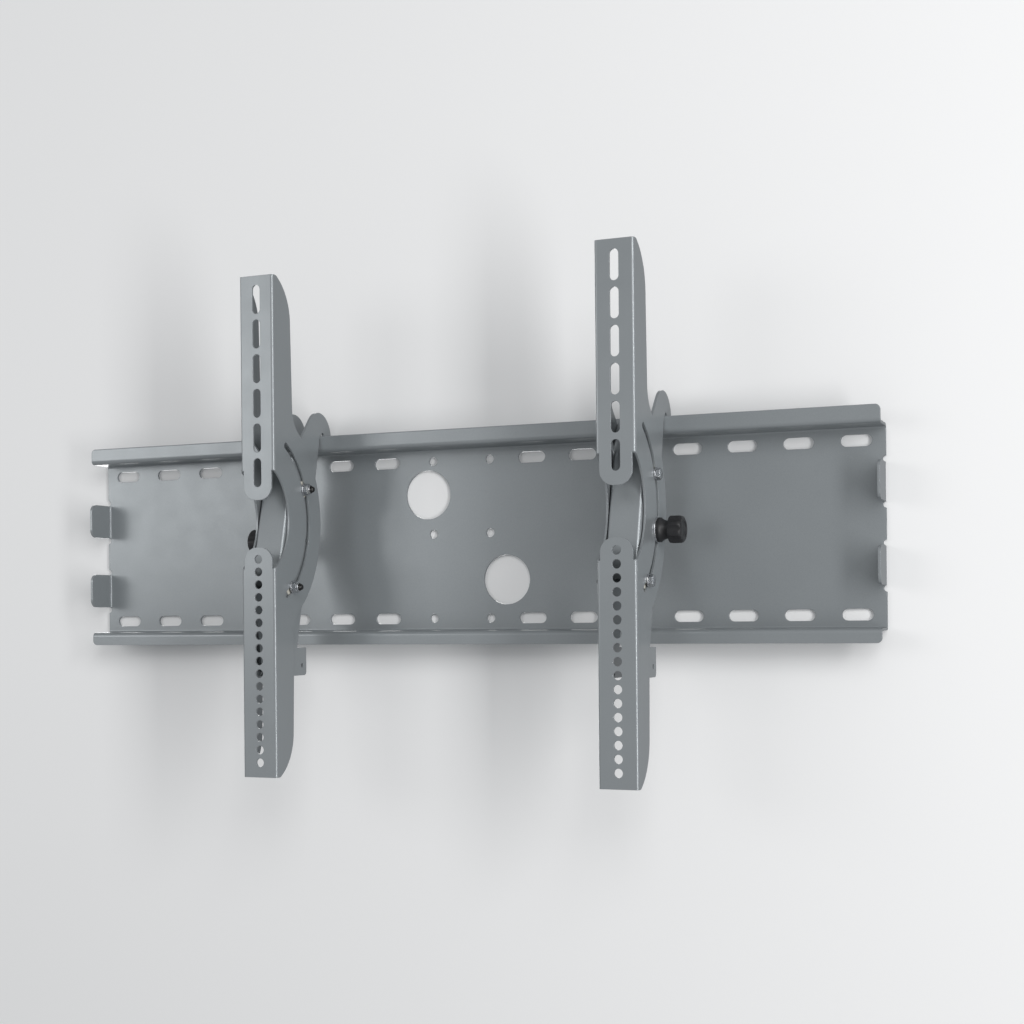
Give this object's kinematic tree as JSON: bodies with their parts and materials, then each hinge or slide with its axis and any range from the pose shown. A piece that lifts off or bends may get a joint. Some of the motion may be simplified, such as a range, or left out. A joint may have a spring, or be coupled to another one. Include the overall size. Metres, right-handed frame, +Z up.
{
  "type": "tilting tv wall bracket",
  "caption": "Folded steel wall plate with hook brackets that slide along its top rail and slotted arms that tilt on them, clamped by hand knobs, to carry a flat screen",
  "frame": {"origin": "centre of the wall plate's back face, on the wall", "axes": "+X to the right seen from the front, -Y forward from the wall, +Z up"},
  "size_m": [0.86, 0.1296, 0.4935],
  "materials": {
    "silver_paint": "satin silver-grey powder coat with a fine metallic fleck",
    "zinc_steel": "bright zinc plate",
    "black_plastic": "moulded black plastic with a fine grain",
    "pale_nylon": "natural nylon"
  },
  "bodies": {
    "wall_plate": {"wall_plate": "silver_paint"},
    "hook_left": {"hook_bracket_left": "silver_paint", "upper_tilt_bolt_left": "zinc_steel", "upper_lock_nut_left": "zinc_steel", "upper_spacer_tube_left": "zinc_steel", "lower_tilt_bolt_left": "zinc_steel", "lower_lock_nut_left": "zinc_steel", "lower_spacer_tube_left": "zinc_steel", "bolt_washers_left": "zinc_steel", "friction_washers_left": "pale_nylon", "knob_slip_ring_left": "pale_nylon", "knob_nut_left": "zinc_steel"},
    "arm_left": {"tv_arm_left": "silver_paint"},
    "knob_left": {"tension_knob_left": "black_plastic", "knob_stud_left": "zinc_steel", "knob_washer_left": "zinc_steel"},
    "hook_right": {"hook_bracket_right": "silver_paint", "upper_tilt_bolt_right": "zinc_steel", "upper_lock_nut_right": "zinc_steel", "upper_spacer_tube_right": "zinc_steel", "lower_tilt_bolt_right": "zinc_steel", "lower_lock_nut_right": "zinc_steel", "lower_spacer_tube_right": "zinc_steel", "bolt_washers_right": "zinc_steel", "friction_washers_right": "pale_nylon", "knob_slip_ring_right": "pale_nylon", "knob_nut_right": "zinc_steel"},
    "arm_right": {"tv_arm_right": "silver_paint"},
    "knob_right": {"tension_knob_right": "black_plastic", "knob_stud_right": "zinc_steel", "knob_washer_right": "zinc_steel"}
  },
  "joints": [
    {"name": "hook_left_slide", "type": "slide", "parent": "wall_plate", "child": "hook_left", "axis": [1, 0, 0], "range_m": [-0.24, 0.11]},
    {"name": "arm_left_tilt", "type": "hinge", "parent": "hook_left", "child": "arm_left", "pos_m": [-0.159, -0.15027, 0.01842], "axis": [1, 0, 0], "range_deg": [-22, 8]},
    {"name": "knob_left_turn", "type": "hinge", "parent": "hook_left", "child": "knob_left", "pos_m": [-0.159, -0.0666, -0.00012], "axis": [-1, 0, 0], "continuous": true},
    {"name": "hook_right_slide", "type": "slide", "parent": "wall_plate", "child": "hook_right", "axis": [1, 0, 0], "range_m": [-0.15, 0.188]},
    {"name": "arm_right_tilt", "type": "hinge", "parent": "hook_right", "child": "arm_right", "pos_m": [0.212, -0.15027, 0.01842], "axis": [1, 0, 0], "range_deg": [-22, 8]},
    {"name": "knob_right_turn", "type": "hinge", "parent": "hook_right", "child": "knob_right", "pos_m": [0.212, -0.0666, -0.00012], "axis": [1, 0, 0], "continuous": true}
  ]
}
